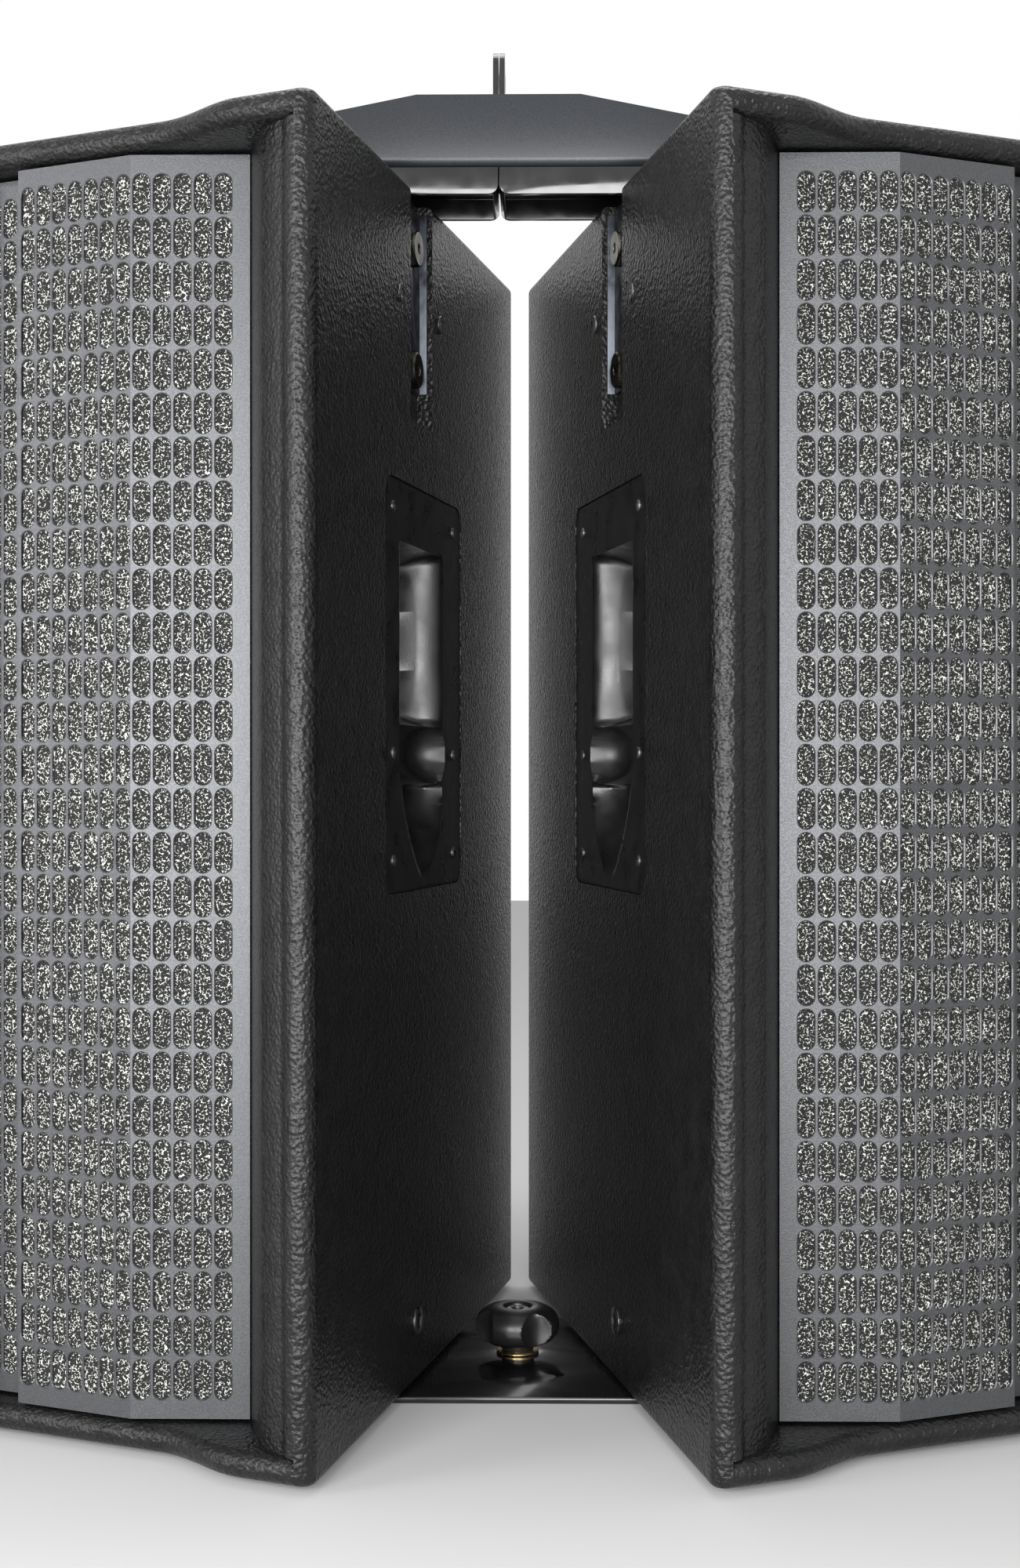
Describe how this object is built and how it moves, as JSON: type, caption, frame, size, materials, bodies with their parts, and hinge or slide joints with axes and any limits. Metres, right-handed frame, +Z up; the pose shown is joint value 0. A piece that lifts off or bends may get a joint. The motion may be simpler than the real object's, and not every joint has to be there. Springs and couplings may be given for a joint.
{
  "type": "line array speaker",
  "caption": "Splayed trapezoid loudspeaker cabinets joined by a top bridge with lifting lugs and a base plate with clamping knob.",
  "frame": {"origin": "on the floor under the middle of the array's outer size", "axes": "+Z up, the fronts face -Y, +X across the array to the right seen from the front"},
  "size_m": [1.2094, 0.6632, 0.9966],
  "materials": {
    "shell": "textured black polyurea coat",
    "baffle": "black stained plywood",
    "grille": "fine-texture anthracite powder coat",
    "foam": "open-cell acoustic foam",
    "casting": "black painted casting",
    "cone": "treated pulp",
    "magnet": "dark coating",
    "handle": "black moulding",
    "horn": "black moulding",
    "rail": "dark zinc plated",
    "disc": "dark plated, knurled",
    "panel": "powder coat",
    "socket": "black moulding",
    "board": "circuit board with coils",
    "rubber": "matt",
    "gloss": "gloss black",
    "powder": "fine-texture powder coat",
    "knob": "satin black",
    "brass": "turned",
    "steel": "plated"
  },
  "bodies": {
    "array": {"right_shell": "shell", "right_baffle": "baffle", "right_grille": "grille", "right_foam": "foam", "right_woofer_basket": "casting", "right_woofer_magnet": "magnet", "right_horn": "horn", "right_horn_driver": "magnet", "right_connector_panel": "panel", "right_socket_1": "socket", "right_socket_2": "socket", "right_crossover": "board", "right_pole_cup": "powder", "right_foot_front_inner": "rubber", "right_foot_front_outer": "rubber", "right_foot_rear": "rubber", "right_inner_handle": "handle", "right_inner_rail": "rail", "right_outer_handle": "handle", "right_outer_rail": "rail", "left_shell": "shell", "left_baffle": "baffle", "left_grille": "grille", "left_foam": "foam", "left_woofer_basket": "casting", "left_woofer_magnet": "magnet", "left_horn": "horn", "left_horn_driver": "magnet", "left_connector_panel": "panel", "left_socket_1": "socket", "left_socket_2": "socket", "left_crossover": "board", "left_pole_cup": "powder", "left_foot_front_inner": "rubber", "left_foot_front_outer": "rubber", "left_foot_rear": "rubber", "left_inner_handle": "handle", "left_inner_rail": "rail", "left_outer_handle": "handle", "left_outer_rail": "rail", "right_bracket": "gloss", "left_bracket": "gloss", "bridge": "powder", "right_bridge_bolt": "steel", "left_bridge_bolt": "steel", "base_plate": "gloss", "knob_washer": "brass"},
    "right_woofer_cone": {"right_woofer_cone": "cone"},
    "right_inner_disc_1": {"right_inner_disc_1": "disc"},
    "right_inner_disc_2": {"right_inner_disc_2": "disc"},
    "right_outer_disc_1": {"right_outer_disc_1": "disc"},
    "right_outer_disc_2": {"right_outer_disc_2": "disc"},
    "left_woofer_cone": {"left_woofer_cone": "cone"},
    "left_inner_disc_1": {"left_inner_disc_1": "disc"},
    "left_inner_disc_2": {"left_inner_disc_2": "disc"},
    "left_outer_disc_1": {"left_outer_disc_1": "disc"},
    "left_outer_disc_2": {"left_outer_disc_2": "disc"},
    "clamp_knob": {"clamp_knob": "knob"}
  },
  "joints": [
    {"name": "right_inner_disc_1_turn", "type": "hinge", "parent": "array", "child": "right_inner_disc_1", "pos_m": [0.07734, -0.08408, 0.8463], "axis": [-0.9763, -0.2164, 0], "continuous": true},
    {"name": "right_inner_disc_2_turn", "type": "hinge", "parent": "array", "child": "right_inner_disc_2", "pos_m": [0.07734, -0.08408, 0.7556], "axis": [-0.9763, -0.2164, 0], "continuous": true},
    {"name": "right_outer_disc_1_turn", "type": "hinge", "parent": "array", "child": "right_outer_disc_1", "pos_m": [0.46686, 0.07727, 0.8463], "axis": [0.8434, 0.5373, 0], "continuous": true},
    {"name": "right_outer_disc_2_turn", "type": "hinge", "parent": "array", "child": "right_outer_disc_2", "pos_m": [0.46686, 0.07727, 0.7556], "axis": [0.8434, 0.5373, 0], "continuous": true},
    {"name": "right_woofer_cone_travel", "type": "slide", "parent": "array", "child": "right_woofer_cone", "axis": [-0.3827, 0.9239, 0], "range_m": [-0.006, 0.006], "stiffness_N_per_m": 4000},
    {"name": "left_inner_disc_1_turn", "type": "hinge", "parent": "array", "child": "left_inner_disc_1", "pos_m": [-0.07734, -0.08408, 0.8463], "axis": [0.9763, -0.2164, 0], "continuous": true},
    {"name": "left_inner_disc_2_turn", "type": "hinge", "parent": "array", "child": "left_inner_disc_2", "pos_m": [-0.07734, -0.08408, 0.7556], "axis": [0.9763, -0.2164, 0], "continuous": true},
    {"name": "left_outer_disc_1_turn", "type": "hinge", "parent": "array", "child": "left_outer_disc_1", "pos_m": [-0.46686, 0.07727, 0.8463], "axis": [-0.8434, 0.5373, 0], "continuous": true},
    {"name": "left_outer_disc_2_turn", "type": "hinge", "parent": "array", "child": "left_outer_disc_2", "pos_m": [-0.46686, 0.07727, 0.7556], "axis": [-0.8434, 0.5373, 0], "continuous": true},
    {"name": "left_woofer_cone_travel", "type": "slide", "parent": "array", "child": "left_woofer_cone", "axis": [0.3827, 0.9239, 0], "range_m": [-0.006, 0.006], "stiffness_N_per_m": 4000},
    {"name": "clamp_knob_turn", "type": "hinge", "parent": "array", "child": "clamp_knob", "pos_m": [0, -0.01724, 0.03], "axis": [0, 0, 1], "continuous": true}
  ]
}
